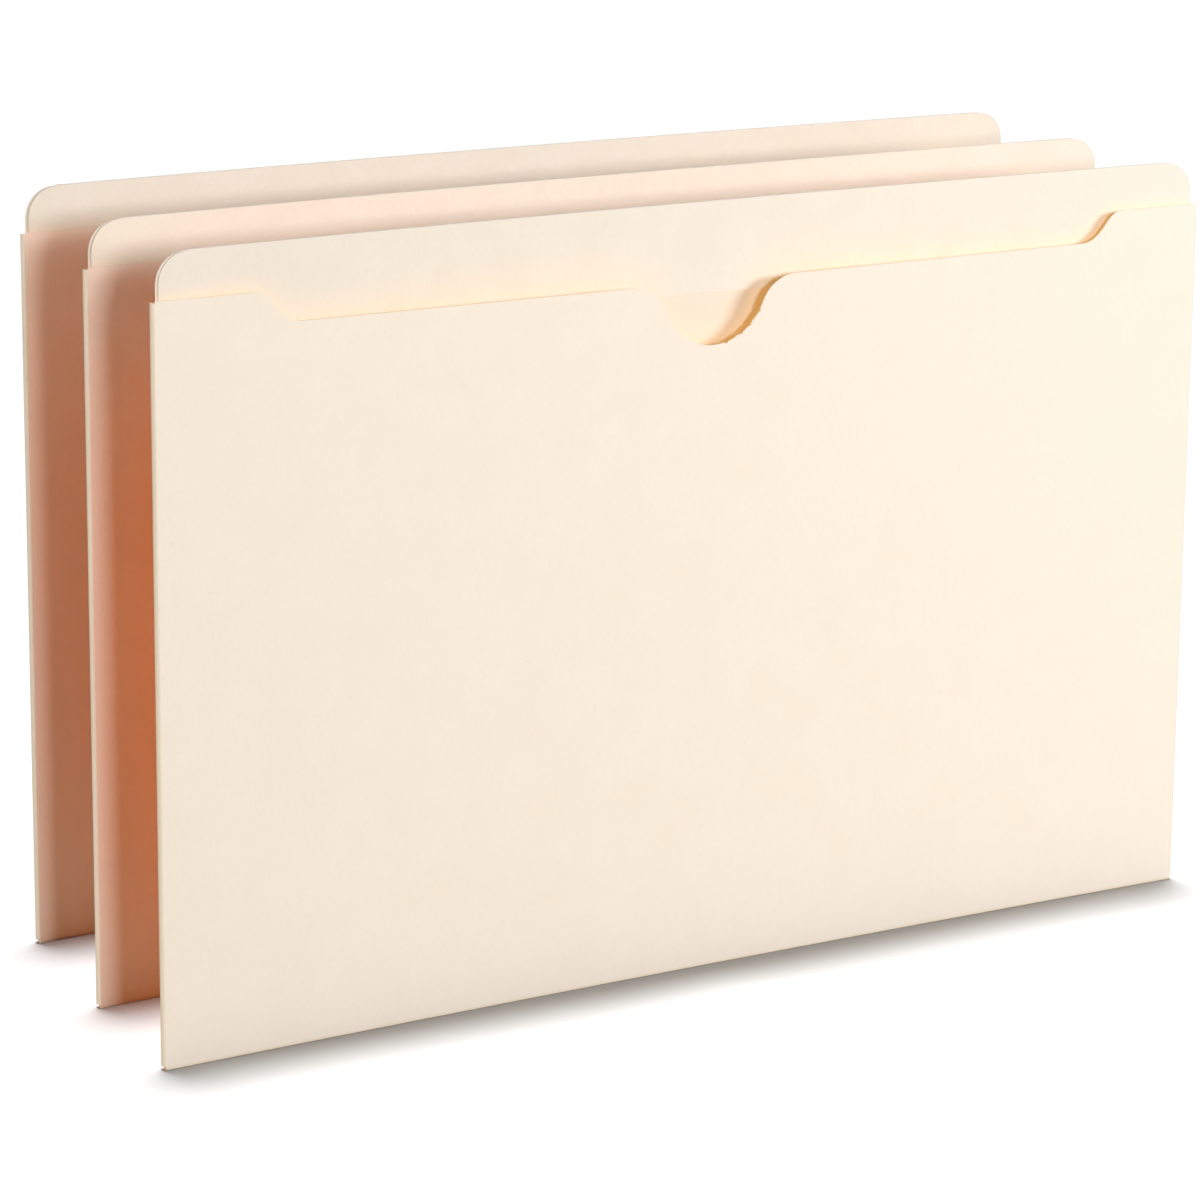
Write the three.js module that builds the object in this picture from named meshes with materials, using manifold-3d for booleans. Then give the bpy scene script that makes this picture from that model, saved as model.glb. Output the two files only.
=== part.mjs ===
// A set of three flat file pockets standing one behind another.
// Each pocket is one die-cut blank of pale card, folded up at the bottom, closed at both sides by
// glued flaps and open at the top, where a doubled tab stands above the cut-down front panel.
// The blank is split at its creases, so each panel, fold, flap and glue line is its own solid.
// Millimetres, +Z up. The fronts face -Y and the origin is the bottom centre of the set.

import * as THREE from 'three';
import { mergeVertices } from 'three/addons/utils/BufferGeometryUtils.js';
import Module from 'manifold-3d';

const wasm = await Module();
wasm.setup();

// Card and glue
const CARD = 0.28;
const GLUE = 0.1;
const PLY_GAP = 0.02;
const EDGE_GAP = 0.05;

// One pocket
const POCKET_HEIGHT = 241.3;
const CREASE_WIDTH = 373.0;
const BACK_INSET = 1.2;
const SIDE_FOLD_BULGE = 0.8;
const SIDE_FOLD_DEPTH = 2.6;
const SIDE_FOLD_FOOT = 1.2;
const BOTTOM_FOLD_DROP = 0.8;
const BOTTOM_LAND = 0.9;

// Side flaps, glued to the outside of the back panel
const FLAP_WIDTH = 25.4;
const FLAP_TAPER = 8;
const SIDE_GLUE_INSET = 5;
const SIDE_GLUE_END = 12;

// Doubled tab
const TAB_CORNER_RADIUS = 9.5;
const TAB_PLY_DEPTH = 28;
const TAB_PLY_INSET = 0.8;
const TAB_GLUE_INSET = 3;

// Cut-down top edge of the front panel
const TAB_RISE = 13.7;
const SIDE_FOLD_STEP = 0.6;
const MOUTH_STEP = 9.3;
const SHOULDER_WIDTH = 31.4;
const STEP_WIDTH = 15.3;
const STEP_TOP_PULL = 5.5;
const STEP_FOOT_PULL = 9;
const THUMB_RADIUS = 19;
const THUMB_DEPTH = 19.7;
const THUMB_FILLET = 12.7;

// The card isn't quite flat: how far the middle of each edge stands back from its ends
const BOTTOM_BOW = 2.3;
const TAB_BOW = 4.5;
const MOUTH_BOW = -2.2;

// The set
const MIDDLE_OFFSET = { x: 8, y: 60 };
const REAR_OFFSET = { x: 19, y: 127 };

// Fineness of the bowed sheets
const COLUMNS = 16;
const ROWS = 5;
const CURVE_STEPS = 8;
const FOLD_STEPS = 3;

// Widths and heights worked out, and layers as distances behind the front panel's outer face
const creaseX = CREASE_WIDTH / 2;
const backX = creaseX - BACK_INSET;
const plyX = backX - TAB_PLY_INSET;
const shoulderHeight = POCKET_HEIGHT - TAB_RISE;
const mouthHeight = shoulderHeight - MOUTH_STEP;
const sideFoldTop = shoulderHeight - SIDE_FOLD_STEP;
const flapLayer = [SIDE_FOLD_DEPTH - CARD, SIDE_FOLD_DEPTH];
const sideGlueLayer = layerBefore(flapLayer[0], GLUE);
const backLayer = layerBefore(sideGlueLayer[0], CARD);
const tabGlueLayer = layerBefore(backLayer[0], GLUE);
const tabPlyLayer = layerBefore(tabGlueLayer[0], CARD);
const faceLayer = [0, CARD];
const tabFoldRise = (backLayer[1] - tabPlyLayer[0]) / 2;
const tabEdgeHeight = POCKET_HEIGHT - tabFoldRise;

// How far front and back an outline has to reach to cut right through a bowed sheet
const cutReach = SIDE_FOLD_DEPTH + CARD + Math.abs(BOTTOM_BOW) + Math.abs(TAB_BOW) + Math.abs(MOUTH_BOW);

// The layer of a given thickness that lies just in front of another layer's front face
function layerBefore(nextFront, thickness) {
  const back = nextFront - PLY_GAP;
  return [back - thickness, back];
}

// How far a point of the sheet stands back, from the bows at the sheet's lower and upper edge
function bowAt(x, share, lowerBow, upperBow) {
  const across = Math.max(0, 1 - (x / creaseX) ** 2);
  return across * (lowerBow + (upperBow - lowerBow) * share);
}

function backBow(x, z) {
  return bowAt(x, z / POCKET_HEIGHT, BOTTOM_BOW, TAB_BOW);
}

function faceBow(x, z) {
  return bowAt(x, z / mouthHeight, BOTTOM_BOW, MOUTH_BOW);
}

// Booleans on closed meshes
function toSolid(geometry) {
  const bare = geometry.clone();
  bare.deleteAttribute('normal');
  bare.deleteAttribute('uv');
  const merged = mergeVertices(bare, 1e-5);
  return new wasm.Manifold(new wasm.Mesh({
    numProp: 3,
    vertProperties: new Float32Array(merged.attributes.position.array),
    triVerts: new Uint32Array(merged.index.array),
  }));
}

function toGeometry(solid) {
  const mesh = solid.getMesh();
  const geometry = new THREE.BufferGeometry();
  geometry.setAttribute('position', new THREE.BufferAttribute(new Float32Array(mesh.vertProperties), 3));
  geometry.setIndex(new THREE.BufferAttribute(new Uint32Array(mesh.triVerts), 1));
  return geometry;
}

// A closed sheet between two distances behind the front, bowed and reaching past every outline.
// Its facets mirror each other about the middle, so mirrored layers lie flat on it too.
function bowedSheet([front, back], bow) {
  const stations = [-creaseX - CARD, ...Array.from({ length: COLUMNS + 1 },
    (_, i) => -creaseX + CREASE_WIDTH * i / COLUMNS), creaseX + CARD];
  const levels = Array.from({ length: ROWS + 1 }, (_, j) => POCKET_HEIGHT * j / ROWS);
  const across = stations.length;
  const count = across * levels.length;
  const positions = [];
  for (const offset of [front, back]) {
    for (const z of levels) {
      for (const x of stations) positions.push(x, offset + bow(x, z), z);
    }
  }
  const faces = [];
  const quad = (a, b, c, d) => faces.push(a, b, c, a, c, d);
  for (let j = 0; j + 1 < levels.length; j += 1) {
    for (let i = 0; i + 1 < across; i += 1) {
      const a = j * across + i;
      const corners = [a, a + 1, a + across + 1, a + across];
      if (stations[i] < 0) corners.push(corners.shift());
      quad(...corners);
      const [first, ...others] = corners.map((corner) => count + corner);
      quad(first, ...others.reverse());
    }
  }
  const wall = (a, b) => quad(b, a, count + a, count + b);
  const top = across * (levels.length - 1);
  for (let i = 0; i + 1 < across; i += 1) {
    wall(i, i + 1);
    wall(top + i + 1, top + i);
  }
  for (let j = 0; j + 1 < levels.length; j += 1) {
    wall((j + 1) * across, j * across);
    wall(j * across + across - 1, (j + 1) * across + across - 1);
  }
  const geometry = new THREE.BufferGeometry();
  geometry.setAttribute('position', new THREE.Float32BufferAttribute(positions, 3));
  geometry.setIndex(faces);
  return geometry;
}

// The part of a bowed sheet inside an outline drawn in X and Z
function cutSheet(layer, bow, outline) {
  const cutter = new THREE.ExtrudeGeometry(outline, {
    depth: 2 * cutReach, steps: 1, bevelEnabled: false, curveSegments: CURVE_STEPS,
  });
  cutter.rotateX(Math.PI / 2);
  cutter.translate(0, cutReach, 0);
  return toSolid(bowedSheet(layer, bow)).intersect(toSolid(cutter));
}

// A section drawn in Y and Z, run along X between two ends and bowed with the sheet
function foldStrip(section, length, bow) {
  const strip = new THREE.ExtrudeGeometry(section, {
    depth: length, steps: COLUMNS, bevelEnabled: false, curveSegments: FOLD_STEPS,
  });
  strip.rotateY(Math.PI / 2);
  strip.rotateX(Math.PI / 2);
  strip.translate(-length / 2, 0, 0);
  const points = strip.attributes.position;
  for (let i = 0; i < points.count; i += 1) {
    points.setY(i, points.getY(i) + bow(points.getX(i), points.getZ(i)));
  }
  return strip;
}

function rectangle(left, right, low, high) {
  const shape = new THREE.Shape();
  shape.moveTo(left, low);
  shape.lineTo(right, low);
  shape.lineTo(right, high);
  shape.lineTo(left, high);
  shape.closePath();
  return shape;
}

// A sheet's outline whose upper corners are rounded
function tabOutline(half, low, high, radius) {
  const shape = new THREE.Shape();
  shape.moveTo(-half, low);
  shape.lineTo(half, low);
  shape.lineTo(half, high - radius);
  shape.absarc(half - radius, high - radius, radius, 0, Math.PI / 2, false);
  shape.lineTo(-half + radius, high);
  shape.absarc(-half + radius, high - radius, radius, Math.PI / 2, Math.PI, false);
  shape.closePath();
  return shape;
}

function backPanel() {
  const low = BOTTOM_FOLD_DROP + EDGE_GAP;
  const high = tabEdgeHeight - PLY_GAP;
  return cutSheet(backLayer, backBow, tabOutline(backX, low, high, TAB_CORNER_RADIUS));
}

// The inner ply of the tab, with the rounded fold that joins it to the back panel's top edge
function tabPly() {
  const low = POCKET_HEIGHT - TAB_PLY_DEPTH;
  const outline = tabOutline(plyX, low, tabEdgeHeight, TAB_CORNER_RADIUS);
  const ply = cutSheet(tabPlyLayer, backBow, outline);
  const middle = (tabPlyLayer[0] + backLayer[1]) / 2;
  const section = new THREE.Shape();
  section.moveTo(tabPlyLayer[0], tabEdgeHeight - CARD);
  section.lineTo(tabPlyLayer[1], tabEdgeHeight - CARD);
  section.lineTo(tabPlyLayer[1], tabEdgeHeight);
  section.lineTo(backLayer[1], tabEdgeHeight);
  section.absellipse(middle, tabEdgeHeight, tabFoldRise, tabFoldRise, 0, Math.PI, false, 0);
  section.closePath();
  const fold = foldStrip(section, 2 * (plyX - TAB_CORNER_RADIUS), backBow);
  return ply.add(toSolid(fold));
}

function tabGlue() {
  const half = backX - TAB_GLUE_INSET;
  const low = POCKET_HEIGHT - TAB_PLY_DEPTH + TAB_GLUE_INSET;
  const high = tabEdgeHeight - TAB_GLUE_INSET;
  return cutSheet(tabGlueLayer, backBow, tabOutline(half, low, high, TAB_CORNER_RADIUS));
}

// The channel that joins the front panel to the back panel, flat where it stands
function bottomFold() {
  const depth = backLayer[1];
  const outer = (depth - BOTTOM_LAND) / 2;
  const inner = outer - CARD;
  const section = new THREE.Shape();
  section.moveTo(0, BOTTOM_FOLD_DROP);
  section.absellipse(outer, BOTTOM_FOLD_DROP, outer, BOTTOM_FOLD_DROP, Math.PI, 1.5 * Math.PI, false, 0);
  section.absellipse(depth - outer, BOTTOM_FOLD_DROP, outer, BOTTOM_FOLD_DROP, 1.5 * Math.PI, 2 * Math.PI, false, 0);
  section.lineTo(depth - CARD, BOTTOM_FOLD_DROP);
  section.absellipse(depth - outer, BOTTOM_FOLD_DROP, inner, BOTTOM_FOLD_DROP - CARD,
    2 * Math.PI, 1.5 * Math.PI, true, 0);
  section.absellipse(outer, BOTTOM_FOLD_DROP, inner, BOTTOM_FOLD_DROP - CARD, 1.5 * Math.PI, Math.PI, true, 0);
  section.closePath();
  return toSolid(foldStrip(section, CREASE_WIDTH - 2 * CARD, backBow));
}

// One side: the rounded fold at the crease and the flap that lies on the back panel
function sideFlap() {
  const low = SIDE_FOLD_FOOT;
  const high = sideFoldTop;
  const inner = creaseX - FLAP_WIDTH;
  const outline = new THREE.Shape();
  outline.moveTo(creaseX + EDGE_GAP, low);
  outline.lineTo(creaseX + EDGE_GAP, high);
  outline.lineTo(creaseX, high);
  outline.lineTo(inner, high - FLAP_TAPER);
  outline.lineTo(inner, low + FLAP_TAPER);
  outline.lineTo(creaseX, low);
  outline.closePath();
  const flap = cutSheet(flapLayer, backBow, outline);

  const middle = SIDE_FOLD_DEPTH / 2;
  const section = new THREE.Shape();
  section.moveTo(creaseX, 0);
  section.absellipse(creaseX, middle, SIDE_FOLD_BULGE, middle, -Math.PI / 2, Math.PI / 2, false, 0);
  section.lineTo(creaseX, SIDE_FOLD_DEPTH - CARD);
  section.absellipse(creaseX, middle, SIDE_FOLD_BULGE - CARD, middle - CARD, Math.PI / 2, -Math.PI / 2, true, 0);
  section.closePath();
  const fold = new THREE.ExtrudeGeometry(section, {
    depth: high - low, steps: 1, bevelEnabled: false, curveSegments: FOLD_STEPS,
  });
  fold.translate(0, 0, low);
  return flap.add(toSolid(fold));
}

function sideGlue() {
  const outer = backX - SIDE_GLUE_INSET;
  const inner = creaseX - FLAP_WIDTH + SIDE_GLUE_INSET;
  const low = SIDE_FOLD_FOOT + SIDE_GLUE_END;
  const high = sideFoldTop - SIDE_GLUE_END;
  return cutSheet(sideGlueLayer, backBow, rectangle(inner, outer, low, high));
}

// The front panel's outline: full-width shoulders, a lower mouth between them and the thumb cut
function faceOutline() {
  const half = creaseX - EDGE_GAP;
  const low = BOTTOM_FOLD_DROP + EDGE_GAP;
  const shoulderX = creaseX - SHOULDER_WIDTH;
  const footX = shoulderX - STEP_WIDTH;
  const thumbZ = mouthHeight - THUMB_DEPTH + THUMB_RADIUS;
  const filletZ = mouthHeight - THUMB_FILLET;
  const drop = thumbZ - filletZ;
  const filletX = Math.sqrt((THUMB_RADIUS + THUMB_FILLET) ** 2 - drop ** 2);
  const tilt = Math.atan2(drop, filletX);

  const shape = new THREE.Shape();
  shape.moveTo(-half, low);
  shape.lineTo(half, low);
  shape.lineTo(half, shoulderHeight);
  shape.lineTo(shoulderX, shoulderHeight);
  shape.bezierCurveTo(shoulderX - STEP_TOP_PULL, shoulderHeight, footX + STEP_FOOT_PULL, mouthHeight,
    footX, mouthHeight);
  shape.lineTo(filletX, mouthHeight);
  shape.absarc(filletX, filletZ, THUMB_FILLET, Math.PI / 2, Math.PI - tilt, false);
  shape.absarc(0, thumbZ, THUMB_RADIUS, -tilt, -Math.PI + tilt, true);
  shape.absarc(-filletX, filletZ, THUMB_FILLET, tilt, Math.PI / 2, false);
  shape.lineTo(-footX, mouthHeight);
  shape.bezierCurveTo(-footX - STEP_FOOT_PULL, mouthHeight, -shoulderX + STEP_TOP_PULL, shoulderHeight,
    -shoulderX, shoulderHeight);
  shape.lineTo(-half, shoulderHeight);
  shape.closePath();
  return shape;
}

function facePanel() {
  return cutSheet(faceLayer, faceBow, faceOutline());
}

// The same geometry on the other side of the pocket's middle
function mirrored(geometry) {
  const copy = geometry.clone();
  copy.scale(-1, 1, 1);
  const faces = copy.index.array;
  for (let i = 0; i < faces.length; i += 3) [faces[i], faces[i + 1]] = [faces[i + 1], faces[i]];
  return copy;
}

function manilaCard(color) {
  return new THREE.MeshStandardMaterial({ color, roughness: 0.85, metalness: 0 });
}

function driedGlue() {
  return new THREE.MeshStandardMaterial({ color: 0xe9dcc0, roughness: 0.6, metalness: 0 });
}

// Every piece of a pocket, by its plain name
function pocketPieces() {
  const flap = toGeometry(sideFlap());
  const glue = toGeometry(sideGlue());
  return {
    face_panel: [toGeometry(facePanel()), () => manilaCard(0xf9ecd9)],
    back_panel: [toGeometry(backPanel()), () => manilaCard(0xf7e8d3)],
    tab_ply: [toGeometry(tabPly()), () => manilaCard(0xf8ead6)],
    tab_glue: [toGeometry(tabGlue()), driedGlue],
    bottom_fold: [toGeometry(bottomFold()), () => manilaCard(0xf6e7d1)],
    left_side_flap: [mirrored(flap), () => manilaCard(0xf5e6d0)],
    right_side_flap: [flap, () => manilaCard(0xf5e6d0)],
    left_glue_line: [mirrored(glue), driedGlue],
    right_glue_line: [glue, driedGlue],
  };
}

// Three pockets of one pattern, the rear ones set back and to the right
const pieces = pocketPieces();
const pocketSet = new THREE.Group();
const places = { front: { x: 0, y: 0 }, middle: MIDDLE_OFFSET, rear: REAR_OFFSET };
for (const [place, offset] of Object.entries(places)) {
  const pocket = new THREE.Group();
  pocket.position.set(offset.x, offset.y, 0);
  for (const [piece, [geometry, material]] of Object.entries(pieces)) {
    const mesh = new THREE.Mesh(geometry, material());
    mesh.name = `${place}_pocket_${piece}`;
    pocket.add(mesh);
  }
  pocketSet.add(pocket);
}

// Origin at the bottom centre of everything
const box = new THREE.Box3().setFromObject(pocketSet);
const centre = box.getCenter(new THREE.Vector3());
pocketSet.position.set(-centre.x, -centre.y, -box.min.z);

export default pocketSet;
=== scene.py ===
"""Looks for a set of three flat file pockets in cream card.

Each pocket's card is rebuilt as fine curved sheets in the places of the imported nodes. Lengths in
the constants are millimetres, and everything placed in the scene is metres.
"""

import math

import bmesh
import bpy
import numpy as np
from mathutils import Matrix, Vector
from mathutils.geometry import delaunay_2d_cdt


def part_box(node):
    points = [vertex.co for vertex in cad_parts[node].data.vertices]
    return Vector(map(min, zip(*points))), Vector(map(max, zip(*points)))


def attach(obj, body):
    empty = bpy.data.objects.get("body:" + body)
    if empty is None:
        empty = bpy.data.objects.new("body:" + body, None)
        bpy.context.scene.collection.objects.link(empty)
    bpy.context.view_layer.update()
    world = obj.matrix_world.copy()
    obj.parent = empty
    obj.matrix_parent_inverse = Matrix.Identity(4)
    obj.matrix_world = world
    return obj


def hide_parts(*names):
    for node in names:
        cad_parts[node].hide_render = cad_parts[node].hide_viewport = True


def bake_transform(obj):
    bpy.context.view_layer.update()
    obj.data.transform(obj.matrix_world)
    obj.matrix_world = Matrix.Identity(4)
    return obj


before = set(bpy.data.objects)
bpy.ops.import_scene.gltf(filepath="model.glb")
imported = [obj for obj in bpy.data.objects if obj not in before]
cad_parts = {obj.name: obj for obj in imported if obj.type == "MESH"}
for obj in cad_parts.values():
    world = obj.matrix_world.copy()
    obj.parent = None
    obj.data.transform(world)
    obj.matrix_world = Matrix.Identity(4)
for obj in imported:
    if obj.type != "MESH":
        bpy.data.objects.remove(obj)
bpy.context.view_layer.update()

MM = 0.001
POCKETS = ("front", "middle", "rear")

# Camera: place relative to the front pocket's crease plane, and the photograph's angles
CAMERA_FROM_FRONT = (-744.6, -1131.5, 450.6)
CAMERA_YAW = 31.96
CAMERA_PITCH = 13.78
CAMERA_ROLL = 0.50
FOCAL_PIXELS = 4543.0
IMAGE_SIZE = 1200
SENSOR = 36.0

# Card and creases
CARD = 0.28
CREASE_HALF = 186.5
BACK_HALF = 185.3
POCKET_HEIGHT = 241.3
SHOULDER = 227.6
MOUTH = 218.3
CREASE_FOOT = 0.8
BOTTOM_LAND = 0.9
BOTTOM_SHARPNESS = 0.45
SIDE_BULGE = 0.8
SIDE_DEPTH = 2.6
SIDE_FOOT = 1.2
SIDE_TOP = 227.0
FLAP_WIDTH = 25.4
FLAP_TAPER = 8.0

# Distances of the layers behind the front panel's outer face, at the side creases
FACE_LAYER = (0.0, 0.28)
PLY_LAYER = (1.48, 1.76)
BACK_LAYER = (1.90, 2.18)

# Tab and front edge
TAB_RADIUS = 9.5
TAB_FOLD_RISE = 0.35
TAB_FOLD_LAP = 0.01
SHEET_TOP = POCKET_HEIGHT - TAB_FOLD_RISE
PLY_DEPTH = 28.0
PLY_HALF = 184.5
PLY_CURL = 0.5
PLY_CURL_HEIGHT = 6.0
SHOULDER_WIDTH = 31.4
STEP_WIDTH = 15.3
STEP_TOP_PULL = 5.5
STEP_FOOT_PULL = 9.0
THUMB_RADIUS = 19.0
THUMB_DEPTH = 19.7
THUMB_FILLET = 12.7

# Torn places on the right of the thumb cut: angle and width in degrees, and outward depth
THUMB_NICKS = ((-31, 1.3, 0.55), (-42, 1.0, -0.4), (-47, 1.2, 0.5),
               (-58, 1.1, 0.55), (-64, 1.0, -0.4), (-76, 1.4, 0.5))

# How far the middle of each edge stands back from its ends
BOTTOM_BOW = 2.3
TAB_BOW = 4.5
MOUTH_BOW = -2.2

# Unevenness of the card, a broad and a fine wave: depths, lengths across and upright for each
# radian, where the broad wave starts, and the height over which both fade out at the foot
RIPPLE = 0.10
RIPPLE_ACROSS = 41.0
RIPPLE_UPRIGHT = 53.0
RIPPLE_START = (0.8, 0.4)
FINE_RIPPLE = 0.05
FINE_ACROSS = 17.0
FINE_UPRIGHT = 29.0
RIPPLE_FADE = 30.0

# Points closer than this are one, and the square of an edge's length is taken as no less
MERGE_WITHIN = 1e-6
LEAST_SQUARE = 1e-12

# The kind of mesh asked for: triangles inside the outline only
TRIANGLES_INSIDE = 1

# Fineness
GRID = 6.0
GRID_MARGIN = 0.4
CURVE_STEPS = 48
CORNER_STEPS = CURVE_STEPS // 2
NICK_STEPS = 5 * CURVE_STEPS
FOLD_STEPS = 13
INNER_FOLD_STEPS = 7
TAB_FOLD_STEPS = 9
FLAP_COLUMNS = 9
CREASE_STATIONS = 65
FLAP_STATIONS = 25
SMOOTH_ANGLE = 40.0


def pocket_origin(place):
    """The middle of a pocket's bottom crease line, on the front panel's outer face at its sides."""
    left_low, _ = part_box(f"{place}_pocket_left_side_flap")
    _, right_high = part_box(f"{place}_pocket_right_side_flap")
    return Vector(((left_low.x + right_high.x) / 2, left_low.y, 0.0))


ORIGINS = {place: pocket_origin(place) for place in POCKETS}


def add_camera():
    yaw, pitch, roll = (math.radians(a) for a in (CAMERA_YAW, CAMERA_PITCH, CAMERA_ROLL))
    flat = math.cos(pitch)
    ahead = Vector((math.sin(yaw) * flat, math.cos(yaw) * flat, -math.sin(pitch)))
    level = Vector((math.cos(yaw), -math.sin(yaw), 0.0))
    upward = level.cross(ahead)
    right = math.cos(roll) * level + math.sin(roll) * upward
    up = -math.sin(roll) * level + math.cos(roll) * upward
    data = bpy.data.cameras.new("camera")
    data.sensor_width = SENSOR
    data.lens = FOCAL_PIXELS / IMAGE_SIZE * SENSOR
    camera = bpy.data.objects.new("camera", data)
    bpy.context.scene.collection.objects.link(camera)
    turn = Matrix((right, up, -ahead)).transposed().to_4x4()
    place = ORIGINS["front"] + Vector(CAMERA_FROM_FRONT) * MM
    camera.matrix_world = Matrix.Translation(place) @ turn
    bpy.context.scene.camera = camera


# Curved surfaces of one pocket, in millimetres from its own origin

def across(x):
    """1 at a panel's middle, falling to 0 at its side creases."""
    return max(0.0, 1.0 - (x / CREASE_HALF) ** 2)


def ripple(x, z):
    """A very slight unevenness of the card, the same for every layer of a pocket."""
    start_x, start_z = RIPPLE_START
    wave_x = math.sin(x / RIPPLE_ACROSS + start_x)
    wave_z = math.sin(z / RIPPLE_UPRIGHT + start_z)
    broad = RIPPLE * wave_x * wave_z
    fine = FINE_RIPPLE * math.sin(x / FINE_ACROSS - z / FINE_UPRIGHT)
    return (broad + fine) * across(x) * min(1.0, z / RIPPLE_FADE)


def back_surface(x, z):
    bow = BOTTOM_BOW + (TAB_BOW - BOTTOM_BOW) * z / POCKET_HEIGHT
    return across(x) * bow + ripple(x, z)


def face_surface(x, z):
    bow = BOTTOM_BOW + (MOUTH_BOW - BOTTOM_BOW) * z / MOUTH
    return across(x) * bow + ripple(x, z)


def ply_surface(x, z):
    """The back panel's curve, but the ply's loose lower edge curls forward."""
    loose = max(0.0, 1.0 - (z - POCKET_HEIGHT + PLY_DEPTH) / PLY_CURL_HEIGHT)
    return back_surface(x, z) - PLY_CURL * loose ** 2


# Outlines in X and Z

def arc(cx, cz, radius, start, end, steps):
    angles = np.linspace(math.radians(start), math.radians(end), steps)
    return [(cx + radius * math.cos(a), cz + radius * math.sin(a)) for a in angles]


def bezier(p0, p1, p2, p3, steps):
    points = []
    for t in np.linspace(0, 1, steps):
        k = ((1 - t) ** 3, 3 * t * (1 - t) ** 2, 3 * t * t * (1 - t), t ** 3)
        points.append(tuple(sum(w * p[i] for w, p in zip(k, (p0, p1, p2, p3))) for i in (0, 1)))
    return points


def tab_outline(half, low):
    """A sheet with square lower corners at a height, and the tab's round corners at the top."""
    inset = half - TAB_RADIUS
    centre_z = SHEET_TOP - TAB_RADIUS
    return ([(-half, low), (half, low)]
            + arc(inset, centre_z, TAB_RADIUS, 0, 90, CORNER_STEPS)
            + arc(-inset, centre_z, TAB_RADIUS, 90, 180, CORNER_STEPS))


def nick(angle, nicks):
    """Outward stray of the die-cut edge, where a few short fibres were torn and not cut."""
    return sum(depth * math.exp(-((angle - at) / width) ** 2) for at, width, depth in nicks)


def face_half_outline(side, nicks):
    """The front panel from its middle to one side, as a loop that starts at the middle's foot."""
    shoulder_x = CREASE_HALF - SHOULDER_WIDTH
    foot_x = shoulder_x - STEP_WIDTH
    thumb_z = MOUTH - THUMB_DEPTH + THUMB_RADIUS
    fillet_z = MOUTH - THUMB_FILLET
    drop = thumb_z - fillet_z
    fillet_x = math.sqrt((THUMB_RADIUS + THUMB_FILLET) ** 2 - drop ** 2)
    tilt = math.degrees(math.atan2(drop, fillet_x))
    step = bezier((shoulder_x, SHOULDER), (shoulder_x - STEP_TOP_PULL, SHOULDER),
                  (foot_x + STEP_FOOT_PULL, MOUTH), (foot_x, MOUTH), CURVE_STEPS)
    fillet = arc(fillet_x, fillet_z, THUMB_FILLET, 90, 180 - tilt, CORNER_STEPS)
    thumb = []
    for angle in np.linspace(-tilt, -90, NICK_STEPS)[1:]:
        radius = THUMB_RADIUS + nick(angle, nicks)
        thumb += arc(0, thumb_z, radius, angle, angle, 1)
    thumb[-1] = (0.0, MOUTH - THUMB_DEPTH)
    loop = [(0.0, CREASE_FOOT), (CREASE_HALF, CREASE_FOOT), (CREASE_HALF, SHOULDER)]
    loop += step + fillet + thumb
    return [(side * x, z) for x, z in loop]


def densified(outline):
    """The same outline with points about GRID apart on its long straight runs."""
    points = []
    for (x0, z0), (x1, z1) in zip(outline, outline[1:] + outline[:1]):
        count = max(1, int(math.hypot(x1 - x0, z1 - z0) / GRID))
        for i in range(count):
            points.append((x0 + (x1 - x0) * i / count, z0 + (z1 - z0) * i / count))
    return points


def inside(outline, x, z, margin):
    """True if a point lies inside an outline and not within margin of its edge."""
    a = np.array(outline)
    b = np.roll(a, -1, axis=0)
    crossing = (a[:, 1] > z) != (b[:, 1] > z)
    with np.errstate(divide="ignore", invalid="ignore"):
        cut = a[:, 0] + (z - a[:, 1]) * (b[:, 0] - a[:, 0]) / (b[:, 1] - a[:, 1])
    if np.count_nonzero(crossing & (x < cut)) % 2 == 0:
        return False
    along = b - a
    square = np.maximum((along ** 2).sum(1), LEAST_SQUARE)
    t = np.clip((([x, z] - a) * along).sum(1) / square, 0, 1)
    gap = np.hypot(*(a + along * t[:, None] - [x, z]).T)
    return gap.min() > margin


# Meshes

def sheet(name, outline, layer, surface, origin):
    """A closed sheet of card: an outline filled with a fine grid, curved, with a front and a back."""
    loop = densified(outline)
    low, high = np.array(loop).min(0), np.array(loop).max(0)
    grid = [(x, z) for x in np.arange(low[0] + GRID / 2, high[0], GRID)
            for z in np.arange(low[1] + GRID / 2, high[1], GRID)
            if inside(loop, x, z, GRID * GRID_MARGIN)]
    points = [Vector(p) for p in loop + grid]
    ring = list(range(len(loop)))
    flat, _, faces, *_ = delaunay_2d_cdt(points, [], [ring], TRIANGLES_INSIDE, MERGE_WITHIN)
    n = len(flat)
    verts = []
    for depth in layer:
        verts += [origin + Vector((p.x, depth + surface(p.x, p.y), p.y)) * MM for p in flat]
    front = [tuple(f) if turns_left(flat, f) else tuple(reversed(f)) for f in faces]
    back = [tuple(n + i for i in reversed(f)) for f in front]
    edges = dict.fromkeys((i, j) for f in front for i, j in zip(f, f[1:] + f[:1]))
    rim = [(j, i, n + i, n + j) for i, j in edges if (j, i) not in edges]
    return card_object(name, verts, front + back, rim)


def turns_left(flat, face):
    a, b, c = (flat[i] for i in face[:3])
    return (b - a).cross(c - a) > 0


def card_object(name, verts, broad, rim):
    """A smooth sheet whose broad sides meet its cut rim at sharp edges."""
    obj = linked_mesh(name, verts, broad + rim)
    mesh = obj.data
    mesh.polygons.foreach_set("use_smooth", [True] * len(mesh.polygons))
    rim_edges = set()
    for a, b, c, d in rim:
        rim_edges |= {frozenset((a, b)), frozenset((c, d))}
    sharp = mesh.attributes.new("sharp_edge", "BOOLEAN", "EDGE")
    sharp.data.foreach_set("value", [frozenset(e.vertices) in rim_edges for e in mesh.edges])
    turn_outward(obj)
    return obj


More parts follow.
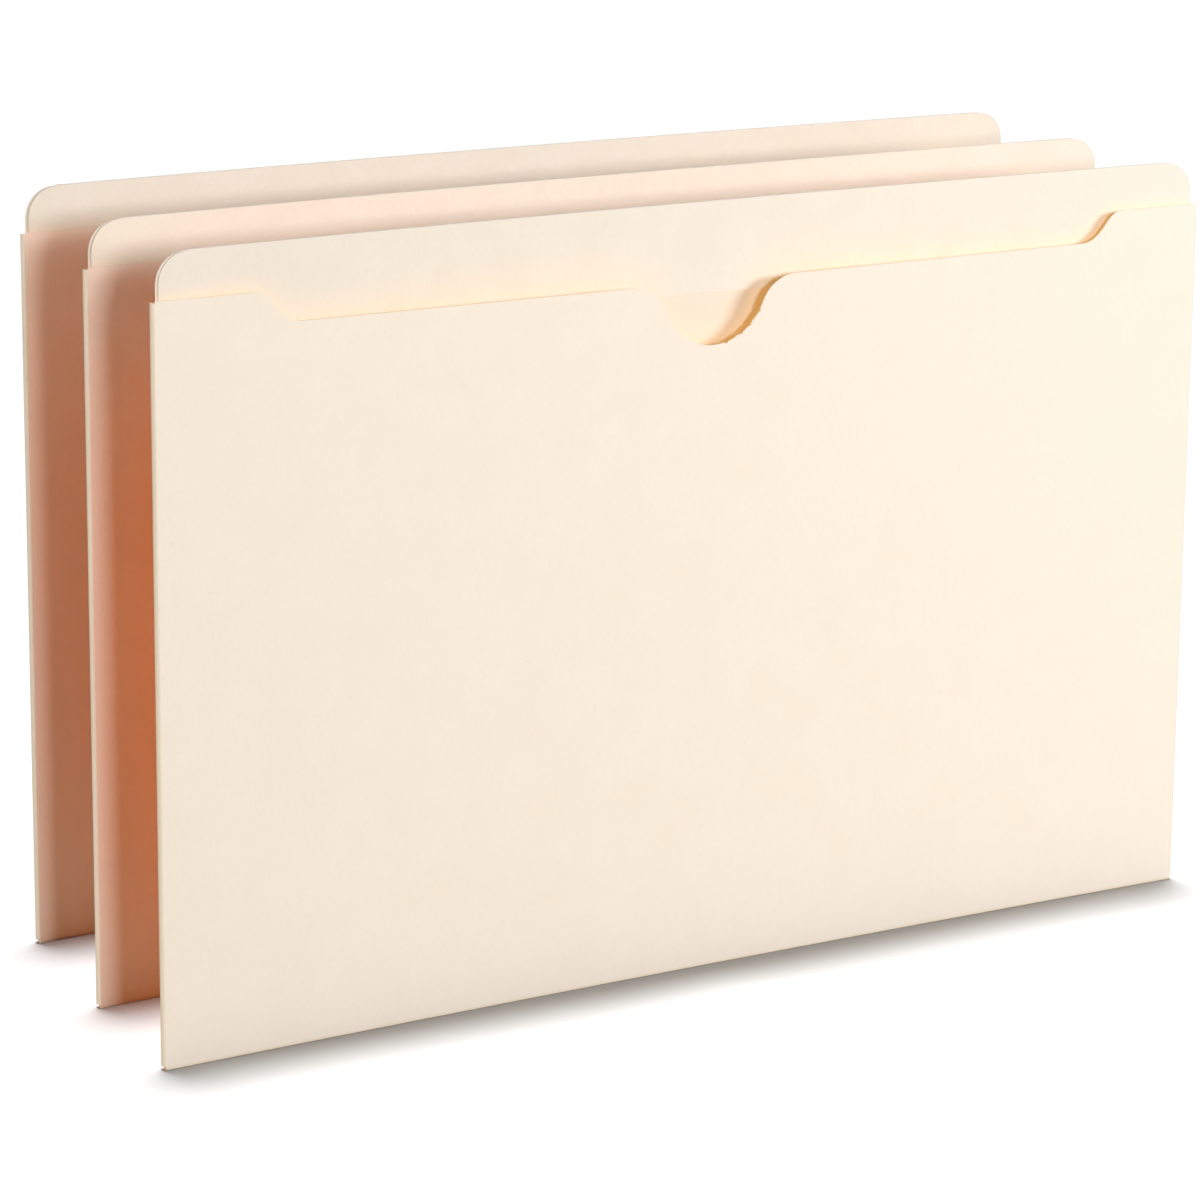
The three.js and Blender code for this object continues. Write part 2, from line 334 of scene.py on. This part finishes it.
def strip(name, section, stations, place):
    """A section swept through stations: place(point, station) gives each point of the strip."""
    count = len(section)
    verts = [place(p, s) for s in stations for p in section]
    quads = []
    for k in range(len(stations) - 1):
        for i in range(count):
            j = (i + 1) % count
            near, far = k * count, (k + 1) * count
            quads.append((near + i, near + j, far + j, far + i))
    last = (len(stations) - 1) * count
    caps = [tuple(reversed(range(count))), tuple(last + i for i in range(count))]
    obj = linked_mesh(name, verts, quads + caps)
    turn_outward(obj)
    obj.data.polygons.foreach_set("use_smooth", [True] * len(obj.data.polygons))
    obj.data.set_sharp_from_angle(angle=math.radians(SMOOTH_ANGLE))
    return obj


def linked_mesh(name, verts, faces):
    mesh = bpy.data.meshes.new(name)
    mesh.from_pydata([tuple(v) for v in verts], [], faces)
    mesh.validate()
    obj = bpy.data.objects.new(name, mesh)
    bpy.context.scene.collection.objects.link(obj)
    return obj


def turn_outward(obj):
    """Make all the faces of a closed mesh look outward."""
    bm = bmesh.new()
    bm.from_mesh(obj.data)
    bmesh.ops.recalc_face_normals(bm, faces=bm.faces)
    if bm.calc_volume(signed=True) < 0:
        bmesh.ops.reverse_faces(bm, faces=bm.faces)
    bm.to_mesh(obj.data)
    bm.free()


# Pieces of one pocket

def stand_for(piece, place, node):
    """Let a piece ride on its pocket's fixed body and stand for one of the pocket's nodes."""
    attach(piece, f"{place}_pocket")
    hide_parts(f"{place}_pocket_{node}")
    return piece


def face_half(place, side):
    """One half of the front panel, which meets the side fold and stands off the back in its middle at
    the mouth.
    """
    word = "left" if side < 0 else "right"
    outline = face_half_outline(side, THUMB_NICKS if side > 0 else ())
    origin = ORIGINS[place]
    half = sheet(f"{place}_pocket_face_{word}", outline, FACE_LAYER, face_surface, origin)
    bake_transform(half)
    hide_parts(f"{place}_pocket_face_panel")
    return half


def back_sheet(place):
    outline = tab_outline(BACK_HALF, CREASE_FOOT)
    name = f"{place}_pocket_back_sheet"
    panel = sheet(name, outline, BACK_LAYER, back_surface, ORIGINS[place])
    return stand_for(panel, place, "back_panel")


def tab_ply(place):
    outline = tab_outline(PLY_HALF, POCKET_HEIGHT - PLY_DEPTH)
    name = f"{place}_pocket_tab_lining"
    ply = sheet(name, outline, PLY_LAYER, ply_surface, ORIGINS[place])
    return stand_for(ply, place, "tab_ply")


def tab_crease(place):
    """The rounded top of the tab, where the card turns down between its two plies."""
    near, far = PLY_LAYER[0], BACK_LAYER[1]
    middle, reach = (near + far) / 2, (far - near) / 2
    section = [(middle + reach * math.cos(a), SHEET_TOP + TAB_FOLD_RISE * math.sin(a))
               for a in np.linspace(0, math.pi, TAB_FOLD_STEPS)]
    section += [(near, SHEET_TOP - TAB_FOLD_LAP), (far, SHEET_TOP - TAB_FOLD_LAP)]
    ends = PLY_HALF - TAB_RADIUS
    origin = ORIGINS[place]

    def at(point, x):
        y, z = point
        return origin + Vector((x, y + back_surface(x, z), z)) * MM

    stations = np.linspace(-ends, ends, CREASE_STATIONS)
    crease = strip(f"{place}_pocket_tab_crease", section, stations, at)
    return stand_for(crease, place, "tab_ply")


def drawn_out(c, sharpness):
    """A cosine or sine drawn out, so that a quarter turn comes closer to a square corner."""
    return math.copysign(abs(c) ** sharpness, c)


def bottom_corner(y, reach, drop, start, end, steps, sharpness=1.0):
    """A quarter turn of the bottom crease in Y and Z, round a point at the crease's own height."""
    return [(y + reach * drawn_out(math.cos(a), sharpness),
             CREASE_FOOT + drop * drawn_out(math.sin(a), sharpness))
            for a in np.linspace(start * math.pi, end * math.pi, steps)]


def bottom_crease(place):
    outer = (BACK_LAYER[1] - BOTTOM_LAND) / 2
    inner, rise = outer - CARD, CREASE_FOOT - CARD
    near, far = outer, BACK_LAYER[1] - outer
    section = bottom_corner(near, outer, CREASE_FOOT, 1, 1.5, FOLD_STEPS, BOTTOM_SHARPNESS)
    section += bottom_corner(far, outer, CREASE_FOOT, 1.5, 2, FOLD_STEPS, BOTTOM_SHARPNESS)
    section += bottom_corner(far, inner, rise, 2, 1.5, INNER_FOLD_STEPS)
    section += bottom_corner(near, inner, rise, 1.5, 1, INNER_FOLD_STEPS)
    ends = CREASE_HALF - CARD
    origin = ORIGINS[place]

    def at(point, x):
        y, z = point
        return origin + Vector((x, y + back_surface(x, 0.0), z)) * MM

    stations = np.linspace(-ends, ends, CREASE_STATIONS)
    crease = strip(f"{place}_pocket_bottom_crease", section, stations, at)
    return stand_for(crease, place, "bottom_fold")


def flap_line(inset):
    """One side of the side fold and its flap, as X, Y and the share of the flap's width."""
    middle = SIDE_DEPTH / 2
    bend = [(CREASE_HALF + (SIDE_BULGE - inset) * math.cos(a),
             middle + (middle - inset) * math.sin(a), 0.0)
            for a in np.linspace(-math.pi / 2, math.pi / 2, FOLD_STEPS)]
    shares = np.linspace(0, 1, FLAP_COLUMNS)[1:]
    return bend + [(CREASE_HALF - FLAP_WIDTH * s, SIDE_DEPTH - inset, s) for s in shares]


def side_flap(place, side):
    """The side fold and its flap as one bent sheet, whose ends are cut on a slant."""
    word = "left" if side < 0 else "right"
    section = flap_line(0.0) + flap_line(CARD)[::-1]
    origin = ORIGINS[place]

    def at(point, share):
        x, y, taper = point
        low = SIDE_FOOT + FLAP_TAPER * taper
        high = SIDE_TOP - FLAP_TAPER * taper
        z = low + (high - low) * share
        return origin + Vector((side * x, y + back_surface(x, z), z)) * MM

    stations = np.linspace(0, 1, FLAP_STATIONS)
    flap = strip(f"{place}_pocket_{word}_flap_sheet", section, stations, at)
    return stand_for(flap, place, f"{word}_side_flap")


# Materials: the pale and the warm screen colour of each kind of card, from 0 to 255

FRONT_COLOURS = ((252, 243, 232), (251, 241, 229))
BACK_COLOURS = ((248, 238, 227), (247, 236, 223))
TAB_COLOURS = ((252, 243, 232), (250, 240, 228))
FOLD_COLOURS = ((251, 237, 218), (249, 234, 213))
FLAP_COLOURS = ((251, 238, 219), (249, 235, 214))
GLUE_COLOURS = ((236, 222, 192), (222, 202, 164))

# Noises: scale, detail and roughness, and the part of each one's range that changes the colour
CLOUD_NOISE = (70.0, 3.0, 0.55)
CLOUD_RANGE = (0.35, 0.65)
FIBRE_NOISE = (1500.0, 4.0, 0.6)
FIBRE_RANGE = (0.42, 0.75)
FLECK_NOISE = (420.0, 2.0, 0.5)
FLECK_RANGE = (0.735, 0.775)
GLUE_NOISE = (160.0, 4.0, 0.6)

# How strongly fibres and flecks show
FIBRE_STRETCH = 0.35
FIBRE_SHARE = 0.6
FIBRE_SHADE = 0.965
FIBRE_RELIEF = 0.12
FIBRE_BUMP = 0.22
FLECK_SHARE = 0.35
FLECK_SHADE = 0.88

# Surfaces: the part of the noise's range over which the roughness goes from one end to the other
ROUGH_RANGE = (0.3, 0.7)
CARD_ROUGHNESS = (0.78, 0.92)
CARD_GLOSS = 0.25
CARD_IOR = 1.5
GLUE_ROUGHNESS = (0.35, 0.6)
GLUE_IOR = 1.48

# Painted orange shade in the gaps: a colour that only bounced light meets on the sides turned from
# the lamps, and the heights over which it fades out below the tab; and the colours that light takes
# on by its passes through the sheets, two for each sheet
PAINTED_GAP_ORANGE = (0.80, 0.50, 0.22, 1.0)
PAINTED_GAP_FROM = 220.0
PAINTED_GAP_TO = 226.0
THROUGH_FIRST = (1.0, 0.76, 0.42, 1.0)
THROUGH_SECOND = (1.0, 0.60, 0.15, 1.0)
THROUGH_LATER = (1.0, 0.95, 0.85, 1.0)
SEEN_THROUGH = 0.05
BOUNCED_THROUGH = 0.90

# Where less bounced light passes: over the doubled part of the back, and in the panels' middle
BACK_DOUBLED = (210.0, 216.0)
ALL_DOUBLED = (0.0, 1.0)
MIDDLE_FROM = 70.0
MIDDLE_TO = 140.0
BACK_MIDDLE_SHARE = 0.50


def nodes_of(material):
    material.use_nodes = True
    tree = material.node_tree
    tree.nodes.clear()
    return tree


def new_node(tree, kind, **inputs):
    node = tree.nodes.new(kind)
    for name, value in inputs.items():
        node.inputs[name.replace("_", " ")].default_value = value
    return node


def linear(red, green, blue):
    """A screen colour from 0 to 255 as the linear colour that a shader takes."""
    def one(c):
        c /= 255.0
        return c / 12.92 if c <= 0.04045 else ((c + 0.055) / 1.055) ** 2.4
    return (one(red), one(green), one(blue), 1.0)


def shaded(colour, share):
    return tuple(c * share for c in colour[:3]) + (1.0,)


def mixed(tree, factor, a, b):
    mix = tree.nodes.new("ShaderNodeMix")
    mix.data_type = "RGBA"
    tree.links.new(factor, mix.inputs["Factor"])
    for socket, value in ((mix.inputs[6], a), (mix.inputs[7], b)):
        if isinstance(value, tuple):
            socket.default_value = value
        else:
            tree.links.new(value, socket)
    return mix.outputs[2]


def ranged(tree, value, low, high, to_low, to_high):
    node = tree.nodes.new("ShaderNodeMapRange")
    tree.links.new(value, node.inputs["Value"])
    limits = {"From Min": low, "From Max": high, "To Min": to_low, "To Max": to_high}
    for name, number in limits.items():
        node.inputs[name].default_value = number
    return node.outputs["Result"]


def computed(tree, operation, a, b=None):
    """The result of a Math node on one or two values, each of them a number or an output."""
    node = tree.nodes.new("ShaderNodeMath")
    node.operation = operation
    for socket, value in zip(node.inputs, (a, b)):
        if isinstance(value, float):
            socket.default_value = value
        elif value is not None:
            tree.links.new(value, socket)
    return node.outputs[0]


def noise(tree, position, scale, detail, roughness):
    node = new_node(tree, "ShaderNodeTexNoise", Scale=scale, Detail=detail, Roughness=roughness)
    tree.links.new(position, node.inputs["Vector"])
    return node.outputs["Fac"]


def parted(tree, vector):
    node = tree.nodes.new("ShaderNodeSeparateXYZ")
    tree.links.new(vector, node.inputs["Vector"])
    return node.outputs


def finish_material(tree, shader):
    out = tree.nodes.new("ShaderNodeOutputMaterial")
    tree.links.new(shader, out.inputs["Surface"])


def fibre_pattern(tree, position):
    """Very fine fibres, longer upright than across."""
    stretch = tree.nodes.new("ShaderNodeMapping")
    stretch.inputs["Scale"].default_value = (1.0, 1.0, FIBRE_STRETCH)
    tree.links.new(position, stretch.inputs["Vector"])
    return noise(tree, stretch.outputs["Vector"], *FIBRE_NOISE)


def card_colour(tree, position, fibre, pale, warm):
    """Uncoated card with a cloudy formation, fine fibres and stray flecks."""
    cloud = noise(tree, position, *CLOUD_NOISE)
    cloudy = mixed(tree, ranged(tree, cloud, *CLOUD_RANGE, 0.0, 1.0), pale, warm)
    fibrous = ranged(tree, fibre, *FIBRE_RANGE, 0.0, FIBRE_SHARE)
    grain = mixed(tree, fibrous, cloudy, shaded(warm, FIBRE_SHADE))
    fleck = noise(tree, position, *FLECK_NOISE)
    flecked = ranged(tree, fleck, *FLECK_RANGE, 0.0, FLECK_SHARE)
    return mixed(tree, flecked, grain, shaded(warm, FLECK_SHADE))


def bounced_behind(tree):
    """1 where bounced light meets a side that faces away from the front, else 0."""
    path = tree.nodes.new("ShaderNodeLightPath")
    geometry = tree.nodes.new("ShaderNodeNewGeometry")
    behind = computed(tree, "GREATER_THAN", parted(tree, geometry.outputs["Normal"])["Y"], 0.0)
    return computed(tree, "MULTIPLY", path.outputs["Is Diffuse Ray"], behind)


def through_colour(tree):
    """The colour of light let through: one for a ray's first pass, one for the next two, and one
    for all later ones.
    """
    path = tree.nodes.new("ShaderNodeLightPath")
    passes = path.outputs["Transmission Depth"]
    second = ranged(tree, passes, 1.0, 2.0, 0.0, 1.0)
    nearer = mixed(tree, second, THROUGH_FIRST, THROUGH_SECOND)
    return mixed(tree, ranged(tree, passes, 3.0, 4.0, 0.0, 1.0), nearer, THROUGH_LATER)


def through_share(tree, place, bounced, doubled, middle_share):
    """How much of the light passes: little that is seen, and much of what has bounced."""
    passing = bounced
    if doubled:
        low, high = doubled
        single = ranged(tree, place["Z"], low * MM, high * MM, 1.0, 0.0)
        passing = computed(tree, "MULTIPLY", passing, single)
    aside = computed(tree, "ABSOLUTE", place["X"])
    sideways = ranged(tree, aside, MIDDLE_FROM * MM, MIDDLE_TO * MM, middle_share, 1.0)
    passing = computed(tree, "MULTIPLY", passing, sideways)
    return ranged(tree, passing, 0.0, 1.0, SEEN_THROUGH, BOUNCED_THROUGH)


def manila(name, colours, doubled=None, middle_share=1.0):
    """Uncoated card that lets warm light through.

    To light that has bounced already, the side turned from the lamps is painted a warmer colour
    and lets more through, which paints orange shade into the narrow gaps between sheets. The extra
    light fades out between the two heights of doubled, where they are given, and middle_share of it
    is left in the panel's middle.
    """
    material = bpy.data.materials.new(name)
    tree = nodes_of(material)
    pale, warm = (linear(*colour) for colour in colours)
    position = tree.nodes.new("ShaderNodeTexCoord").outputs["Object"]
    place = parted(tree, position)
    fibre = fibre_pattern(tree, position)
    bounced = bounced_behind(tree)

    bump = new_node(tree, "ShaderNodeBump", Strength=FIBRE_BUMP, Distance=FIBRE_RELIEF * MM)
    tree.links.new(fibre, bump.inputs["Height"])
    below_tab = ranged(tree, place["Z"], PAINTED_GAP_FROM * MM, PAINTED_GAP_TO * MM, 1.0, 0.0)
    card = card_colour(tree, position, fibre, pale, warm)
    # Painted orange shade: below the tab, bounced light meets an orange colour instead of the card's
    # on the side turned from the lamps
    colour = mixed(tree, computed(tree, "MULTIPLY", bounced, below_tab), card, PAINTED_GAP_ORANGE)
    surface = new_node(tree, "ShaderNodeBsdfPrincipled", Metallic=0.0, IOR=CARD_IOR,
                       Specular_IOR_Level=CARD_GLOSS)
    tree.links.new(colour, surface.inputs["Base Color"])
    roughness = ranged(tree, fibre, *ROUGH_RANGE, *CARD_ROUGHNESS)
    tree.links.new(roughness, surface.inputs["Roughness"])
    tree.links.new(bump.outputs["Normal"], surface.inputs["Normal"])

    glow = tree.nodes.new("ShaderNodeBsdfTranslucent")
    tree.links.new(through_colour(tree), glow.inputs["Color"])
    both = tree.nodes.new("ShaderNodeMixShader")
    share = through_share(tree, place, bounced, doubled, middle_share)
    tree.links.new(share, both.inputs["Fac"])
    tree.links.new(surface.outputs["BSDF"], both.inputs[1])
    tree.links.new(glow.outputs["BSDF"], both.inputs[2])
    finish_material(tree, both.outputs["Shader"])
    return material


def dried_glue():
    material = bpy.data.materials.new("dried_glue")
    tree = nodes_of(material)
    position = tree.nodes.new("ShaderNodeTexCoord").outputs["Object"]
    smear = noise(tree, position, *GLUE_NOISE)
    surface = new_node(tree, "ShaderNodeBsdfPrincipled", IOR=GLUE_IOR)
    pale, warm = (linear(*colour) for colour in GLUE_COLOURS)
    tree.links.new(mixed(tree, smear, pale, warm), surface.inputs["Base Color"])
    roughness = ranged(tree, smear, *ROUGH_RANGE, *GLUE_ROUGHNESS)
    tree.links.new(roughness, surface.inputs["Roughness"])
    finish_material(tree, surface.outputs["BSDF"])
    return material


def paint(obj, material):
    obj.data.materials.clear()
    obj.data.materials.append(material)


# Floor, lamps and background: shares of full light, degrees, and metres

FLOOR_HALF = 12.0
FLOOR_SEEN = (0.60, 0.60, 0.60, 1.0)
FLOOR_BOUNCE = (0.23, 0.212, 0.175, 1.0)
WORLD_FILL = 0.012
LAMP_DISTANCE = 2.0
KEY_SHARE = 0.375
KEY_COLOUR = (1.0, 0.985, 0.96)
KEY_LEFT = 15.0
KEY_UP = 12.0
KEY_DISTANCE = 3.0
KEY_SIZE = (0.42, 0.40)
FILL_SHARE = 0.525
FILL_LEFT = -34.0
FILL_UP = 15.0
FILL_DISTANCE = 1.4
FILL_SIZE = (0.60, 0.28)
SIDE_SHARE = 0.38
SIDE_SOFTNESS = 4.0
SIDE_LEFT = 88.0
SIDE_UP = 20.0
BACK_SHARE = 0.95
BACK_SOFTNESS = 12.0
BACK_LEFT = -160.0
BACK_UP = 14.0
TOP_SHARE = 1.62
TOP_SOFTNESS = 8.5
TOP_BACK = 3.7
TOP_LEFT = -1.6
NEAR_SHARE = 0.20
NEAR_SOFTNESS = 7.0
NEAR_UP = 35.0
WARM_SHARES = {"middle": 0.28, "rear": 0.60}
WARM_COLOUR = (1.0, 0.30, 0.04)
WARM_LEFT = 78.0
WARM_UP = 3.0
WARM_SOFTNESS = 8.0
TAB_SHARE = 0.06
TAB_COLOUR = (0.35, 1.0, 0.60)
TAB_UP = 35.0


def add_floor():
    half = FLOOR_HALF
    corners = [(-half, -half, 0), (half, -half, 0), (half, half, 0), (-half, half, 0)]
    mesh = bpy.data.meshes.new("floor")
    mesh.from_pydata(corners, [], [(0, 1, 2, 3)])
    floor = bpy.data.objects.new("floor", mesh)
    bpy.context.scene.collection.objects.link(floor)
    material = bpy.data.materials.new("floor")
    tree = nodes_of(material)
    path = tree.nodes.new("ShaderNodeLightPath")
    plain = mixed(tree, path.outputs["Is Camera Ray"], FLOOR_BOUNCE, FLOOR_SEEN)
    surface = tree.nodes.new("ShaderNodeBsdfDiffuse")
    tree.links.new(plain, surface.inputs["Color"])
    finish_material(tree, surface.outputs["BSDF"])
    paint(floor, material)
    return floor


def add_lamp(name, direction, softness, share):
    """An even lamp from one direction, whose light alone shows a facing surface at share."""
    data = bpy.data.lights.new(name, "SUN")
    data.angle = math.radians(softness)
    data.energy = share * math.pi
    return aimed(name, data, direction, LAMP_DISTANCE)


def add_softbox(name, direction, distance, size, share):
    """An upright lamp, whose light alone shows a facing surface in the set's middle at share."""
    data = bpy.data.lights.new(name, "AREA")
    data.shape = "RECTANGLE"
    data.size, data.size_y = size
    data.energy = share * math.pi ** 2 * distance ** 2
    return aimed(name, data, direction, distance)


def aimed(name, data, direction, distance):
    lamp = bpy.data.objects.new(name, data)
    bpy.context.scene.collection.objects.link(lamp)
    lamp.location = Vector((0, 0, POCKET_HEIGHT / 2 * MM)) + direction * distance
    lamp.rotation_euler = (-direction).to_track_quat("-Z", "Y").to_euler()
    return lamp


def share_light(lamps, objects, state):
    """Let some lamps light everything but some objects (EXCLUDE) or only those (INCLUDE)."""
    receivers = bpy.data.collections.new("receivers")
    for obj in objects:
        receivers.objects.link(obj)
    for entry in receivers.collection_objects:
        entry.light_linking.link_state = state
    for lamp in lamps:
        lamp.light_linking.receiver_collection = receivers


def from_angles(left, up):
    """The direction from the set towards a lamp in front, turned left and raised by degrees."""
    left, up = math.radians(left), math.radians(up)
    flat = math.cos(up)
    return Vector((-math.sin(left) * flat, -math.cos(left) * flat, math.sin(up)))


def light_object(floor):
    """The lamps of the whole set, which leave the floor to its own lamps."""
    key_from, fill_from = from_angles(KEY_LEFT, KEY_UP), from_angles(FILL_LEFT, FILL_UP)
    key = add_softbox("key", key_from, KEY_DISTANCE, KEY_SIZE, KEY_SHARE)
    key.data.color = KEY_COLOUR
    fill = add_softbox("fill", fill_from, FILL_DISTANCE, FILL_SIZE, FILL_SHARE)
    back = add_lamp("back", from_angles(BACK_LEFT, BACK_UP), BACK_SOFTNESS, BACK_SHARE)
    side = add_lamp("side", from_angles(SIDE_LEFT, SIDE_UP), SIDE_SOFTNESS, SIDE_SHARE)
    share_light((key, fill, back, side), (floor,), "EXCLUDE")


def light_floor(floor):
    """An overhead lamp for the soft shadow along the front, and a weak one from the camera's side."""
    over_left, over_back = math.tan(math.radians(TOP_LEFT)), math.tan(math.radians(TOP_BACK))
    overhead = Vector((-over_left, over_back, 1.0)).normalized()
    top = add_lamp("top", overhead, TOP_SOFTNESS, TOP_SHARE)
    near = add_lamp("near", from_angles(CAMERA_YAW, NEAR_UP), NEAR_SOFTNESS, NEAR_SHARE)
    share_light((top, near), (floor,), "INCLUDE")


def light_gaps(faces, tabs):
    """Weak lamps for the pockets that stand behind: warm on their faces, and pale on their tabs."""
    for place, share in WARM_SHARES.items():
        warm = add_lamp(f"{place}_warm", from_angles(WARM_LEFT, WARM_UP), WARM_SOFTNESS, share)
        warm.data.color = WARM_COLOUR
        share_light((warm,), faces[place], "INCLUDE")
    pale = add_lamp("tab", from_angles(CAMERA_YAW, TAB_UP), WARM_SOFTNESS, TAB_SHARE)
    pale.data.color = TAB_COLOUR
    share_light((pale,), [tabs[place] for place in WARM_SHARES], "INCLUDE")


def add_world():
    """White to the camera and in reflections, and a weak fill to everything else."""
    world = bpy.data.worlds.new("studio")
    bpy.context.scene.world = world
    world.use_nodes = True
    tree = world.node_tree
    tree.nodes.clear()
    path = tree.nodes.new("ShaderNodeLightPath")
    seen = computed(tree, "MAXIMUM", path.outputs["Is Camera Ray"], path.outputs["Is Glossy Ray"])
    strength = ranged(tree, seen, 0.0, 1.0, WORLD_FILL, 1.0)
    back = new_node(tree, "ShaderNodeBackground", Color=(1.0, 1.0, 1.0, 1.0))
    tree.links.new(strength, back.inputs["Strength"])
    out = tree.nodes.new("ShaderNodeOutputWorld")
    tree.links.new(back.outputs["Background"], out.inputs["Surface"])


# The scene

def add_pocket(place, cards):
    """Build and paint one pocket. Returns the halves of its front panel, and its tab's lining."""
    faces = []
    for side in (-1, 1):
        half = face_half(place, side)
        paint(half, cards["front"])
        faces.append(half)
        paint(side_flap(place, side), cards["flap"])
    paint(back_sheet(place), cards["back"])
    lining = tab_ply(place)
    paint(lining, cards["tab"])
    paint(tab_crease(place), cards["tab"])
    paint(bottom_crease(place), cards["fold"])
    for glued in ("tab_glue", "left_glue_line", "right_glue_line"):
        paint(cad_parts[f"{place}_pocket_{glued}"], cards["glue"])
    return faces, lining


bpy.context.scene.view_settings.view_transform = "Standard"
add_camera()

cards = {
    "front": manila("front_card", FRONT_COLOURS),
    "back": manila("back_card", BACK_COLOURS, BACK_DOUBLED, BACK_MIDDLE_SHARE),
    "tab": manila("tab_card", TAB_COLOURS, ALL_DOUBLED),
    "fold": manila("fold_card", FOLD_COLOURS),
    "flap": manila("flap_card", FLAP_COLOURS),
    "glue": dried_glue(),
}
faces, tabs = {}, {}
for place in POCKETS:
    faces[place], tabs[place] = add_pocket(place, cards)

floor = add_floor()
light_object(floor)
light_floor(floor)
light_gaps(faces, tabs)
add_world()
